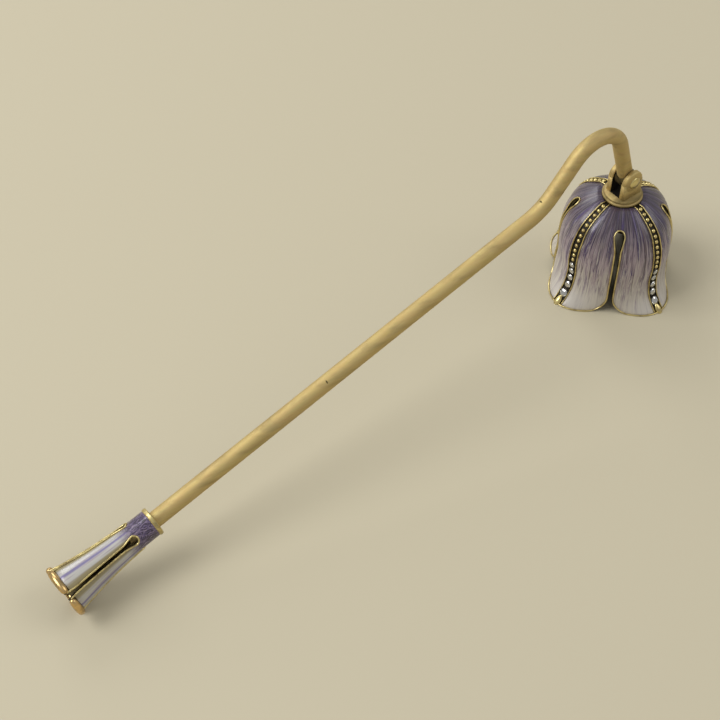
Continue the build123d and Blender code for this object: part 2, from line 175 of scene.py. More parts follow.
class Colours(PropertyGroup):
    """The colours of the finishes."""
    brass: colour("Brass", "#c6b17b", "Satin antique brass of the rod")
    brass_dark: colour("Brass shade", "#9c8961", "The same brass where its antique finish is darker")
    gold: colour("Gold tone", "#dccb8e", "Rubbed bright metal of the lines and beads")
    warm_gold: colour("Warm gold", "#d8b67c", "Rubbed bright metal of the small flower's lips")
    # Blackening in the rib channels; inside the fork this colour is painted shade.
    oxide_and_fork_shade: colour("Black oxide", "#15110b", "Blackening in the channels and inside the fork")
    worn_olive: colour("Worn olive", "#5d5233", "Where the blackened metal shows its brass again")
    collar_shade: colour("Collar shade", "#6f6244", "Stains on the fork's collar")
    # On the rod's eye this blackened colour is painted shade.
    patina_and_eye_shade: colour("Patina", "#241d10", "Blackened metal in the slots, the nicks and inside the bell")
    collet: colour("Collet", "#4a463f", "Rubbed edges of the blackened metal round the crystals")
    purple: colour("Purple", "#2e2334", "Enamel at the crown")
    lilac: colour("Lilac", "#94848f", "Enamel half way down")
    pearl: colour("Pearl", "#c0bab2", "Enamel at the mouth")
    violet: colour("Violet", "#433365", "Strokes of violet enamel along the petals")
    swirl: colour("Swirl", "#584a6c", "Lighter swirls round the small flower's neck")
    plum: colour("Plum", "#46343c", "Strokes of brownish enamel along the petals")
    pale_blue: colour("Pale blue", "#b0aea8", "Enamel of the small flower's petals")
    vein: colour("Vein", "#6d6590", "The line along each of those petals")
    olive: colour("Olive", "#8a7f5c", "Stained edge of those petals")
    cloth: colour("Floor", "#bdb59e", "The pale floor")


class StageSizes(PropertyGroup):
    """The floor and the camera."""
    floor: FloatProperty(name="Floor", description="Side of the floor", default=3.0, unit="LENGTH")
    camera_place: FloatVectorProperty(name="Camera place", description="Where the camera stands",
                                      subtype="TRANSLATION", unit="LENGTH",
                                      default=(-0.28469, -0.22453, 0.36923))
    camera_azimuth: FloatProperty(name="Azimuth", description="Turn of the view about the vertical",
                                  subtype="ANGLE", default=radians(-38.238))
    camera_elevation: FloatProperty(name="Elevation", description="Angle of the view below the horizon",
                                    subtype="ANGLE", default=radians(49.749))
    lens: FloatProperty(name="Lens", description="Focal length in millimetres on a 36 mm sensor",
                        default=74.71)


# Helpers for shapes


def finish_piece(bm, name, body, finish, replaced=(), smooth=True):
    """Makes a piece of a bmesh, rides it on its body and hides the CAD parts that it stands for."""
    bmesh.ops.recalc_face_normals(bm, faces=bm.faces)
    for face in bm.faces:
        face.smooth = smooth
    mesh = bpy.data.meshes.new(name)
    bm.to_mesh(mesh)
    bm.free()
    mesh.materials.append(finish)
    piece = bpy.data.objects.new(name, mesh)
    bpy.context.scene.collection.objects.link(piece)
    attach(piece, body)
    if replaced:
        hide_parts(*replaced)


def sheet(bm, columns, rows, place, uv=None):
    """Moves a grid to its form: place gives a point from the share across and the row.

    uv gives each point's texture place in the same way. Returns the new vertices.
    """
    grid = bmesh.ops.create_grid(bm, x_segments=columns, y_segments=rows, size=1)["verts"]
    shares = {vert: ((vert.co.x + 1) / 2, round((vert.co.y + 1) / 2 * rows)) for vert in grid}
    if uv:
        layer = bm.loops.layers.uv.verify()
        for face in {face for vert in grid for face in vert.link_faces}:
            for loop in face.loops:
                loop[layer].uv = uv(*shares[loop.vert])
    for vert, (share, row) in shares.items():
        vert.co = place(share, row)
    return grid


def sweep(bm, frames, half_width, half_height, sides=10, flats=None):
    """A rounded strip along frames (point, along, outward); the halves may be numbers or lists.

    flats gives at each frame how far the strip may reach to either side of the snuffer's middle.
    """
    widths = half_width if isinstance(half_width, list) else [half_width] * len(frames)
    heights = half_height if isinstance(half_height, list) else [half_height] * len(frames)

    def place(share, row):
        point, along, outward = frames[row]
        across = along.cross(outward).normalized()
        turn = 2 * pi * share
        spot = point + across * cos(turn) * widths[row] + outward * sin(turn) * heights[row]
        if flats:
            spot.y = max(-flats[row], min(flats[row], spot.y))
        return spot

    grid = sheet(bm, sides, len(frames) - 1, place)
    bmesh.ops.remove_doubles(bm, verts=grid, dist=0.002 * MM)


def close_ends(bm):
    """Fills each open loop with one face."""
    bmesh.ops.holes_fill(bm, edges=[edge for edge in bm.edges if edge.is_boundary], sides=0)


def spun(bm, profile, stand, steps=64, ring=False):
    """A shape of revolution round +Z from (radius, height) points, placed by stand.

    The points go round to the first again if ring is set. Otherwise the shape is closed where they
    start and end on the axis, and open where they don't.
    """
    apart = bmesh.new()
    verts = [apart.verts.new((radius, 0, height)) for radius, height in profile]
    edges = [apart.edges.new(pair) for pair in zip(verts, verts[1:] + verts[:1] if ring else verts[1:])]
    bmesh.ops.spin(apart, geom=verts + edges, cent=(0, 0, 0), axis=UP, angle=2 * pi, steps=steps,
                   use_merge=True)
    bmesh.ops.remove_doubles(apart, verts=apart.verts, dist=0.001 * MM)
    bmesh.ops.transform(apart, matrix=stand, verts=apart.verts)
    bmesh.ops.recalc_face_normals(apart, faces=apart.faces)
    mesh = bpy.data.meshes.new("spun")
    apart.to_mesh(mesh)
    apart.free()
    bm.from_mesh(mesh)
    bpy.data.meshes.remove(mesh)


def box(bm, one, other):
    """A box between two corners. Returns its vertices."""
    verts = bmesh.ops.create_cube(bm, size=1)["verts"]
    for vert in verts:
        vert.co = [a + (b - a) * (share + 0.5) for a, b, share in zip(one, other, vert.co)]
    return verts


def pin(bm, centre, radius, length, segments=48):
    """A cylinder that lies across the snuffer."""
    stand = Matrix.Translation(centre) @ Matrix.Rotation(pi / 2, 4, "X")
    bmesh.ops.create_cone(bm, cap_ends=True, segments=segments, radius1=radius, radius2=radius, depth=length,
                          matrix=stand)


def soften(bm, edges, offset):
    """Rounds edges off."""
    bmesh.ops.bevel(bm, geom=edges, offset=offset, offset_type="OFFSET", affect="EDGES", segments=3,
                    profile=0.5, material=-1)


def petal_turn(angle, flip=1):
    """Turns the half petal at +X to another petal, and mirrors it first if flip is -1."""
    return Matrix.Rotation(angle, 3, "Z") @ Matrix.Diagonal((1, flip, 1))


def turned(places, angle, flip=1):
    """(point, outward) places of the half petal at +X, turned to another petal."""
    turn = petal_turn(angle, flip)
    return [(turn @ point, turn @ outward) for point, outward in places]


def frames_along(places):
    """Frames for a sweep through (point, outward) places."""
    frames = []
    for i, (point, outward) in enumerate(places):
        before, after = places[max(i - 1, 0)][0], places[min(i + 1, len(places) - 1)][0]
        along = (after - before).normalized()
        frames.append((point, along, (outward - along * outward.dot(along)).normalized()))
    return frames


def eased(places, values, place):
    """The value at a place on a smooth line through (place, value) points."""
    count = len(places)
    i = max(j for j in range(count - 1) if j == 0 or places[j] <= place)
    slopes = [(values[j + 1] - values[j]) / (places[j + 1] - places[j]) for j in range(count - 1)]

    def tangent(j):
        if j == 0:
            return slopes[0] + (slopes[0] - slopes[1]) / 2
        if j == count - 1:
            return slopes[-1] + (slopes[-1] - slopes[-2]) / 2
        before, after = places[j] - places[j - 1], places[j + 1] - places[j]
        return (slopes[j - 1] * after + slopes[j] * before) / (before + after)

    width = places[i + 1] - places[i]
    t = (place - places[i]) / width
    return ((2 * t**3 - 3 * t**2 + 1) * values[i] + (t**3 - 2 * t**2 + t) * width * tangent(i)
            + (3 * t**2 - 2 * t**3) * values[i + 1] + (t**3 - t**2) * width * tangent(i + 1))


class PetalForm:
    """A form of four petals round +Z from its foot at 0 to a height, with a slot between each two.

    rib and slot give its radius over a petal's middle and over a slot at a height. gap gives half
    of the slot's width at a height, widened by grow. The slot ends at the top in a round end.
    """

    def __init__(self, rib, slot, gap, height, slot_end, slot_round):
        self.rib, self.slot, self.gap, self.height = rib, slot, gap, height
        self.slot_end, self.slot_round = slot_end, slot_round

    def radius(self, height, turn):
        rib, slot = self.rib(height), self.slot(height)
        return (rib + slot) / 2 + (rib - slot) / 2 * cos(PETALS * turn)

    def point(self, height, turn, sink=0.0, flat_foot=0.0):
        """A point on the form, moved in by sink: square to its surface, but level at its foot.

        flat_foot is the height over which the way in turns from level to square.
        """
        step = 0.05 * MM
        low, high = max(height - step, 0), min(height + step, self.height)
        fall = -(self.radius(high, turn) - self.radius(low, turn)) / (high - low)
        out, up = 1 / hypot(1, fall), fall / hypot(1, fall)
        if flat_foot:
            keep = min(1.0, height / flat_foot)
            out, up = out + (1 - keep) * up * up / out, up * keep
        radius = self.radius(height, turn) - sink * out
        return Vector((radius * cos(turn), radius * sin(turn), height - sink * up))

    def outward(self, height, turn):
        return (self.point(height, turn, -MM) - self.point(height, turn)).normalized()

    def slot_edge(self, height, aside):
        """The turn from a petal's middle to a place aside from the slot's middle."""
        turn = SLOT_TURN
        for _ in range(4):
            turn = SLOT_TURN - asin(min(1.0, aside / self.radius(height, turn)))
        return turn

    def from_slot(self, height, turn, grow):
        """How far a place lies from the edge of the slot that is widened by grow."""
        aside = self.radius(height, turn) * sin(SLOT_TURN - turn)
        if height > self.slot_end:
            return hypot(aside, height - self.slot_end) - self.slot_round - grow
        return aside - self.gap(height, grow)

    def round_end(self, grow, steps=12):
        """(height, aside) along half of the slot's round end, from its top down."""
        turns = [pi / 2 * (1 - i / steps) for i in range(steps + 1)]
        reach = self.slot_round + grow
        return [(self.slot_end + reach * sin(turn), reach * cos(turn)) for turn in turns]

    def rows(self, grow, low, high, below=36, above=8, more=()):
        """Heights for a sheet of the form, close together at the slot's round end, with more if given."""
        ends = [self.slot_end + (self.slot_round + grow) * sin(pi / 2 * i / 8) for i in range(9)]
        lower = sorted([low + (self.slot_end - low) * i / below for i in range(below)] + list(more))
        upper = [ends[-1] + (high - ends[-1]) * i / above for i in range(1, above + 1)]
        kept = []
        for row in lower + ends + upper:
            if not kept or row - kept[-1] > 0.02 * MM:
                kept.append(row)
        return kept

    def shell(self, bm, rows, columns, outer_sink, inner_sink, flat_foot):
        """A wall between two sinks of the form, open along its slots and closed over its crown."""
        closing_row = next(i for i, height in enumerate(rows) if self.gap(height, 0) < 0.001 * MM)
        for angle, flip in HALF_PETALS:
            def at(share, row, sink):
                turn = share * self.slot_edge(rows[row], self.gap(rows[row], 0))
                return petal_turn(angle, flip) @ self.point(rows[row], turn, sink, flat_foot)

            sheet(bm, columns, len(rows) - 1, lambda share, row: at(share, row, outer_sink))
            sheet(bm, columns, len(rows) - 1, lambda share, row: at(share, row, inner_sink))
            sheet(bm, 1, closing_row,
                  lambda share, row: at(1, row, inner_sink if share > 0.5 else outer_sink))
            sheet(bm, columns, 1, lambda share, row: at(share, 0, inner_sink if row else outer_sink))
        bmesh.ops.remove_doubles(bm, verts=bm.verts, dist=0.01 * MM)
        close_ends(bm)


def enamel_sink(edge, at_edge, bulge, soft):
    """How deep the enamel lies at a distance from its edge, sunk there and bulging further in."""
    return at_edge - bulge * (1 - exp(-max(0.0, edge) / soft))


# The bell's form

# The bell's outline from the mouth up: heights as shares of its height, and its
# radius over a rib and over a slot as shares of its radius at the belly.
HEIGHT_SHARES = (0, 0.124, 0.292, 0.497, 0.702, 0.885, 1)
RIB_SHARES = (1.266, 1.073, 0.99, 1, 0.943, 0.75, 0.42)
SLOT_SHARES = (0.98, 0.969, 0.946, 0.955, 0.901, 0.716, 0.401)

# The crystals' diameters up a rib, as shares of the first one's.
CRYSTAL_SHARES = (1, 0.86, 0.79, 0.75, 0.71)

# Over this height above the mouth, the wall's thickness turns from level to square to its surface.
LEVEL_FOOT = 4 * MM

# The lines and the enamel end this far under the flat of the crown and are drawn in over it.
UNDER_CROWN = 0.05 * MM


def bell_form():
    s = bpy.context.scene.snuffer_bell
    heights = [share * s.height for share in HEIGHT_SHARES]
    ribs = [share * s.radius for share in RIB_SHARES]
    slots = [share * s.radius for share in SLOT_SHARES]

    def gap(height, grow):
        round_top = s.slot_round + grow
        half = s.slot_half + grow
        if height >= s.slot_top:
            return sqrt(max(0.0, round_top**2 - (height - s.slot_top) ** 2))
        if height >= s.slot_neck:
            return half + (round_top - half) * (height - s.slot_neck) / (s.slot_top - s.slot_neck)
        if height >= s.petal_corner:
            return half
        corner = s.petal_corner - grow
        return half + corner - sqrt(max(0.0, corner**2 - (s.petal_corner - height) ** 2))

    def rib(height):
        return eased(heights, ribs, height)

    def slot(height):
        return eased(heights, slots, height)

    return PetalForm(rib, slot, gap, s.height, s.slot_top, s.slot_round)


def bell_rows(form, grow, low, high):
    """Heights for a sheet of the bell, close together at the petals' corners too."""
    corner = bpy.context.scene.snuffer_bell.petal_corner
    more = [low + (corner - low) * (1 - cos(pi / 2 * i / 12)) for i in range(1, 12)]
    return form.rows(grow, low, high, below=40, above=7, more=more)


def over_crown(heights):
    """(height, pull) places up the bell and then, at the last height, in over the flat of its crown."""
    return [(height, 0) for height in heights] + [(heights[-1], i / 4) for i in range(1, 5)]


def drawn_in(point, pull):
    """A point at the crown's edge, drawn in over the flat of the crown towards the fork's collar."""
    share = 1 - pull * (1 - bpy.context.scene.snuffer_bell.collar / hypot(point.x, point.y))
    return Vector((point.x * share, point.y * share, point.z))


def band_half(height):
    """Half of the width of a rib's band at a height, to the middle of its lines."""
    s = bpy.context.scene.snuffer_bell
    taper = max(0.0, (height - s.band_taper) / (s.height - s.band_taper))
    return (s.band + (s.band_crown - s.band) * taper - s.line) / 2


def band_edge(form, height):
    """The turn from a rib to the middle of its band's line."""
    return asin(band_half(height) / form.radius(height, 0))


def rib_line(form, rows, aside, sink):
    """(point, outward) places up the band at +X: aside is 0 along its middle and 1 along its line."""
    places = []
    for height, pull in rows:
        turn = aside * band_edge(form, height)
        point = drawn_in(form.point(height, turn, sink), pull)
        places.append((point, UP if pull else form.outward(height, turn)))
    return places


def petal_edge(form, grow, end_steps=36):
    """(point, outward) places along a petal's edge, from one slot's top round its end to the other's."""
    s = bpy.context.scene.snuffer_bell
    outline = form.round_end(grow)
    for i in range(1, 5):
        height = s.slot_top + (s.slot_neck - s.slot_top) * i / 4
        outline.append((height, s.slot_round + (s.slot_half - s.slot_round) * i / 4 + grow))
    for i in range(1, 17):
        outline.append((s.slot_neck + (s.petal_corner - s.slot_neck) * i / 16, s.slot_half + grow))
    corner = s.petal_corner - grow
    for i in range(1, 17):
        turn = pi / 2 * i / 16
        aside = s.slot_half + s.petal_corner - corner * cos(turn)
        outline.append((s.petal_corner - corner * sin(turn), aside))
    half = [(height, form.slot_edge(height, aside)) for height, aside in outline]
    end_height, end_turn = half[-1]
    half += [(end_height, end_turn * (1 - i / end_steps)) for i in range(1, end_steps + 1)]
    both = half + [(height, -turn) for height, turn in reversed(half[:-1])]
    return [(form.point(height, turn), form.outward(height, turn)) for height, turn in both]


def rib_places(count=400):
    """The length of the rib at +X from the mouth up, and a look-up for the point at a length."""
    form = bell_form()
    points = [form.point(form.height * i / count, 0) for i in range(count + 1)]
    lengths = [0.0]
    for before, after in zip(points, points[1:]):
        lengths.append(lengths[-1] + (after - before).length)

    def at(length):
        i = next((j for j in range(1, count + 1) if lengths[j] >= length), count)
        share = (length - lengths[i - 1]) / (lengths[i] - lengths[i - 1])
        height = form.height * (i - 1 + share) / count
        return form.point(height, 0), form.outward(height, 0)

    return lengths[-1], at


def crystal_places():
    """(distance along the rib, radius) of each crystal, the largest at the tip."""
    s = bpy.context.scene.snuffer_bell
    radii = [share * s.crystal / 2 for share in CRYSTAL_SHARES]
    places = [s.crystal_start]
    for inner, outer in zip(radii[1:], radii):
        places.append(places[-1] + outer + s.crystal_gap + inner)
    return list(zip(places, radii))


def set_on(angle, point, outward):
    """The placing that stands a shape made round +Z on the rib at an angle."""
    along = SIDEWAYS.cross(outward).normalized()
    across = outward.cross(along).normalized()
    turn = Matrix((along, across, outward)).transposed().to_4x4()
    return Matrix.Rotation(angle, 4, "Z") @ Matrix.Translation(point) @ turn


# Helpers for materials


def material(name):
    """A new material and its node tree, empty."""
    made = bpy.data.materials.new(name)
    made.use_nodes = True
    made.node_tree.nodes.clear()
    return made, made.node_tree


def add(tree, kind, inputs=(), stops=(), **settings):
    """Adds a shader node with its settings, its colour stops, and its inputs' values or links.

    Inputs go by name or number, or in their order. A node among them is linked from its first
    output in use.
    """
    node = tree.nodes.new("ShaderNode" + kind)
    for name, value in settings.items():
        setattr(node, name, value)
    for i, (place, stop) in enumerate(stops):
        element = node.color_ramp.elements[i] if i < 2 else node.color_ramp.elements.new(place)
        element.position, element.color = place, (*stop, 1)
    for name, value in inputs.items() if isinstance(inputs, dict) else enumerate(inputs):
        if isinstance(value, bpy.types.Node):
            value = next(socket for socket in value.outputs if socket.enabled)
        if isinstance(value, bpy.types.NodeSocket):
            tree.links.new(value, node.inputs[name])
        elif node.inputs[name].type == "RGBA":
            node.inputs[name].default_value = (*value, 1)
        else:
            node.inputs[name].default_value = value
    return node


# The brass's fine scratches, drawn coarser than the real ones so that they show.
SCRATCH_LENGTH = 30 * MM
SCRATCH_WIDTH = 1.2 * MM


def satin_brass(name="satin antique brass", shade=0.05, stain=None, nicks=()):
    """Drawn brass rod, tumbled and antiqued: warm, barely cloudy, with fine scratches along it."""
    scene = bpy.context.scene
    c = scene.snuffer_colours
    made, tree = material(name)
    place = add(tree, "TexCoord").outputs["Object"]
    along = add(tree, "Mapping", {"Vector": place, "Rotation": (0, scene.snuffer_rod.slope, 0),
                                  "Scale": (1 / SCRATCH_LENGTH, 1 / SCRATCH_WIDTH, 1 / SCRATCH_WIDTH)})
    drawn = add(tree, "Mapping", {"Vector": along, "Scale": (2, 0.4, 0.4)})
    clouds = add(tree, "TexNoise", {"Vector": drawn, "Scale": 1, "Detail": 4, "Roughness": 0.55})
    scratches = add(tree, "TexNoise", {"Vector": along, "Scale": 1, "Detail": 4, "Roughness": 0.65})
    tone = add(tree, "ValToRGB", (clouds,),
               stops=((0.05 + 0.3 * shade, stain or c.brass_dark), (0.5 + 0.3 * shade, c.brass)))
    worn = add(tree, "Mix", {0: 0.15, 6: tone, 7: scratches.outputs["Color"]}, data_type="RGBA",
               blend_type="SOFT_LIGHT")
    # The nicks are short along the rod, so lengths that way count for more.
    narrow = Vector((2.4, 1, 1))
    shrunk = add(tree, "VectorMath", (place, narrow), operation="MULTIPLY")
    for nick in nicks:
        away = add(tree, "VectorMath", (shrunk, nick * narrow), operation="DISTANCE")
        mask = add(tree, "MapRange", (away, scene.snuffer_rod.nick * 0.6, scene.snuffer_rod.nick, 0.8, 0.0))
        worn = add(tree, "Mix", {0: mask, 6: worn, 7: c.patina_and_eye_shade}, data_type="RGBA")
    rough = add(tree, "MapRange", (scratches, 0.3, 0.7, 0.6, 0.72))
    bump = add(tree, "Bump", {"Height": scratches, "Strength": 0.12, "Distance": 0.05 * MM})
    brass = add(tree, "BsdfPrincipled", {"Base Color": worn, "Metallic": 1.0, "Roughness": rough,
                                         "Normal": bump})
    add(tree, "OutputMaterial", (brass,))
    return made


def clouded_metal(name, grain, stops, metallic, rough, unevenness):
    """Metal whose tone, gloss and surface vary a little in clouds of one grain."""
    made, tree = material(name)
    place = add(tree, "TexCoord").outputs["Object"]
    clouds = add(tree, "TexNoise", {"Vector": place, "Scale": 1 / grain, "Detail": 5, "Roughness": 0.62})
    tone = add(tree, "ValToRGB", (clouds,), stops=stops)
    gloss = add(tree, "MapRange", (clouds, 0.3, 0.7, *rough))
    bump = add(tree, "Bump", {"Height": clouds, "Strength": unevenness, "Distance": 0.1 * MM})
    metal = add(tree, "BsdfPrincipled", {"Base Color": tone, "Metallic": metallic, "Roughness": gloss,
                                         "Normal": bump})
    add(tree, "OutputMaterial", (metal,))
    return made


def rubbed_gold(name="rubbed gold-tone brass", bright=None):
    """Cast brass, gold-toned and rubbed bright on what stands proud: pale yellow, softly polished."""
    c = bpy.context.scene.snuffer_colours
    stops = ((0.3, c.brass_dark), (0.55, bright or c.gold))
    return clouded_metal(name, 2.5 * MM, stops, 1.0, (0.27, 0.33), 0.15)


def blackened_brass_and_eye_shade(name="blackened brass"):
    """Cast brass with its recesses blackened: dull and dark, with the brass just showing through. On the
    rod's eye the same finish is painted shade.
    """
    c = bpy.context.scene.snuffer_colours
    return clouded_metal(name, 3 * MM, ((0.38, c.patina_and_eye_shade), (0.7, c.worn_olive)), 0.85, (0.5, 0.5), 0)


def black_oxide_and_fork_shade(name="black oxide"):
    """Brass blackened for good where no rubbing reaches: nearly black and dull. Inside the fork the same
    finish is painted shade.
    """
    c = bpy.context.scene.snuffer_colours
    return clouded_metal(name, 1.6 * MM, ((0.5, c.oxide_and_fork_shade), (1.0, c.worn_olive)), 0.4, (0.5, 0.7), 0.1)


def collet_metal(name="blackened collet metal"):
    """Blackened metal round the stones, steel-grey where its edges are rubbed."""
    c = bpy.context.scene.snuffer_colours
    return clouded_metal(name, 0.9 * MM, ((0.3, c.patina_and_eye_shade), (0.5, c.collet)), 0.9, (0.3, 0.42), 0.1)


def brush_strokes(tree, uv, across, along, **inputs):
    """Noise drawn out along the petals, so many strokes across and along a unit of the map."""
    drawn = add(tree, "Mapping", {"Vector": uv, "Scale": (across, along, 1)})
    return add(tree, "TexNoise", {"Vector": drawn, "Scale": 1, **inputs})


def petal_enamel(name="brushed glass enamel"):
    """Glass enamel brushed on in strokes and fired: deep at the crown, pearl at the mouth, softly glossy."""
    c = bpy.context.scene.snuffer_colours
    made, tree = material(name)
    uv = add(tree, "TexCoord").outputs["UV"]
    up = add(tree, "SeparateXYZ", (uv,)).outputs["Y"]
    # Strokes about 2, 1 and 0.4 mm wide.
    soft = {"Detail": 4, "Roughness": 0.62}
    broad = brush_strokes(tree, uv, 7, 1.4, Distortion=0.8, **soft)
    middle = brush_strokes(tree, uv, 16, 2.6, Distortion=1.4, **soft)
    fine = brush_strokes(tree, uv, 36, 4.2, Distortion=0.9, **soft)
    # The strokes carry the change from purple to pearl up and down.
    middle_drift = add(tree, "MapRange", (middle, 0.3, 0.7, -0.13, 0.13))
    broad_drift = add(tree, "MapRange", (broad, 0.35, 0.65, -0.2, 0.16))
    drift = add(tree, "Math", (middle_drift, broad_drift), operation="ADD")
    level = add(tree, "Math", (up, drift), operation="ADD")
    base = add(tree, "ValToRGB", (level,), stops=((0.12, c.pearl), (0.85, c.purple), (0.5, c.lilac)))
    # Dark strokes gather towards the crown, and pale ones lie on them.
    hue = add(tree, "MapRange", (broad, 0.42, 0.58))
    dark = add(tree, "Mix", {0: hue, 6: c.plum, 7: c.violet}, data_type="RGBA")
    dark_strokes = add(tree, "MapRange", (middle, 0.48, 0.58))
    dark_above = add(tree, "MapRange", (up, 0.12, 0.5, 0.15, 0.95))
    dark_share = add(tree, "Math", (dark_strokes, dark_above), operation="MULTIPLY")
    streaked = add(tree, "Mix", {0: dark_share, 6: base, 7: dark}, data_type="RGBA")
    pale_strokes = add(tree, "MapRange", (fine, 0.5, 0.62))
    pale_patches = add(tree, "MapRange", (broad, 0.42, 0.58, 0.2, 0.85))
    pale_below = add(tree, "MapRange", (up, 0.7, 0.95, 1.0, 0.3))
    pale_share = add(tree, "Math", (pale_strokes, pale_patches), operation="MULTIPLY")
    pale_share = add(tree, "Math", (pale_share, pale_below), operation="MULTIPLY")
    whole = add(tree, "Mix", {0: pale_share, 6: streaked, 7: c.pearl}, data_type="RGBA")
    bump = add(tree, "Bump", {"Height": fine, "Strength": 0.3, "Distance": 0.12 * MM})
    enamel = add(tree, "BsdfPrincipled", {"Base Color": whole, "Roughness": 0.42, "IOR": 1.5,
                                          "Coat Weight": 0.5, "Coat Roughness": 0.2, "Metallic": 0.15,
                                          "Normal": bump})
    add(tree, "OutputMaterial", (enamel,))
    return made


def flower_enamel(name="veined glass enamel"):
    """The same enamel on the small flower: swirled purple round its neck, each petal pale with a vein."""
    c = bpy.context.scene.snuffer_colours
    made, tree = material(name)
    uv = add(tree, "TexCoord").outputs["UV"]
    split = add(tree, "SeparateXYZ", (uv,))
    swirls = brush_strokes(tree, uv, 3.5, 11, Detail=3, Distortion=2.6)
    strokes = brush_strokes(tree, uv, 7, 2.4, Detail=3)
    neck = add(tree, "ValToRGB", (swirls,), stops=((0.4, c.purple), (0.75, c.lilac), (0.52, c.swirl)))
    petal = add(tree, "ValToRGB", (strokes,), stops=((0.3, c.lilac), (0.5, c.pale_blue)))
    # The map's X is 0 along a petal's middle and 1 in the slots' middle. The strokes make it waver.
    waver = add(tree, "MapRange", (strokes, 0, 1, -0.08, 0.08))
    aside = add(tree, "Math", (split.outputs["X"], waver), operation="ADD")
    off = add(tree, "Math", (aside,), operation="ABSOLUTE")
    vein = add(tree, "MapRange", (off, 0.05, 0.14, 0.9, 0.0))
    veined = add(tree, "Mix", {0: vein, 6: petal, 7: c.vein}, data_type="RGBA")
    edge = add(tree, "MapRange", (off, 0.44, 0.6))
    edged = add(tree, "Mix", {0: edge, 6: veined, 7: c.olive}, data_type="RGBA")
    past_neck = add(tree, "MapRange", (split.outputs["Y"], 0.22, 0.36))
    whole = add(tree, "Mix", {0: past_neck, 6: neck, 7: edged}, data_type="RGBA")
    enamel = add(tree, "BsdfPrincipled", {"Base Color": whole, "Roughness": 0.38, "Coat Weight": 0.7,
                                          "Coat Roughness": 0.12, "Metallic": 0.15})
    add(tree, "OutputMaterial", (enamel,))
    return made


def cut_crystal(name="foil-backed cut crystal"):
    """Machine-cut glass stones with a foil behind them: clear, bright and silvery."""
    made, tree = material(name)
    glass = add(tree, "BsdfPrincipled", {"Base Color": (1, 1, 0.98), "Roughness": 0.02, "IOR": 1.6,
                                         "Transmission Weight": 1.0})
    foil = add(tree, "BsdfPrincipled", {"Base Color": (0.95, 0.95, 0.93), "Metallic": 1.0, "Roughness": 0.15})
    stone = add(tree, "MixShader", (0.6, glass, foil))
    add(tree, "OutputMaterial", (stone,))
    return made


def dress(node, finish):
    """Gives a CAD node, which is seen as it is, its finish."""
    mesh = frame["nodes"][node].data
    mesh.materials.clear()
    mesh.materials.append(finish)


# Operators


class SNUFFER_OT_bell_casting(Operator):
    """Casts the bell's wall: four petals parted by slots, closed at the crown"""
    bl_idname = "snuffer.bell_casting"
    bl_label = "Bell casting"

    def execute(self, context):
        s = context.scene.snuffer_bell
        form = bell_form()
        bm = bmesh.new()
        form.shell(bm, bell_rows(form, 0, 0, s.height), 18, s.recess, s.wall, LEVEL_FOOT)
        finish_piece(bm, "bell_casting", "bell", blackened_brass_and_eye_shade(), ["bell"])
        return {"FINISHED"}


# A petal's rim stands back from the slot by this share of its width.
RIM_BACK = 0.4

# The channel's dark floor: how far over the recess it lies, and half of its thickness.
CHANNEL_LIFT = 0.07 * MM
CHANNEL_HALF = 0.05 * MM


class SNUFFER_OT_bell_lines(Operator):
    """Lays the bright lines: round the petals' edges and along each rib's band, with its channel between"""
    bl_idname = "snuffer.bell_lines"
    bl_label = "Bell lines"

    def execute(self, context):
        s = context.scene.snuffer_bell
        form = bell_form()
        gold = rubbed_gold()
        bm = bmesh.new()
        edge = petal_edge(form, s.rim * RIM_BACK)
        for angle in PETAL_ANGLES:
            sweep(bm, frames_along(turned(edge, angle)), s.rim / 2, s.rim_height)
        for vert in bm.verts:
            vert.co.z = max(vert.co.z, 0)
        finish_piece(bm, "petal_rims", "bell", gold)

        low, high, count = s.rim_height, s.height - UNDER_CROWN, 60
        rows = over_crown([low + (high - low) * i / count for i in range(count + 1)])
        line = rib_line(form, rows, 1, 0)
        bm = bmesh.new()
        for angle, flip in HALF_PETALS:
            sweep(bm, frames_along(turned(line, angle, flip)), s.line / 2, s.line_height, 8)
        close_ends(bm)
        finish_piece(bm, "rib_lines", "bell", gold)

        floor = rib_line(form, rows, 0, s.recess - CHANNEL_LIFT)
        widths = [band_half(height) for height, pull in rows]
        bm = bmesh.new()
        for angle in PETAL_ANGLES:
            sweep(bm, frames_along(turned(floor, angle)), widths, CHANNEL_HALF, 8)
        close_ends(bm)
        finish_piece(bm, "rib_channels", "bell", black_oxide_and_fork_shade())
        return {"FINISHED"}


# The beads end this far from the flat of the crown, along the rib.
LAST_BEAD_GAP = 0.5 * MM

# A tip narrows by the first share towards its inner end, its centre lies up the rib by the second,
# and its underside keeps off the table.
TIP_NARROWING = 0.35
TIP_CENTRE = 0.3
TIP_CLEAR = 0.02 * MM


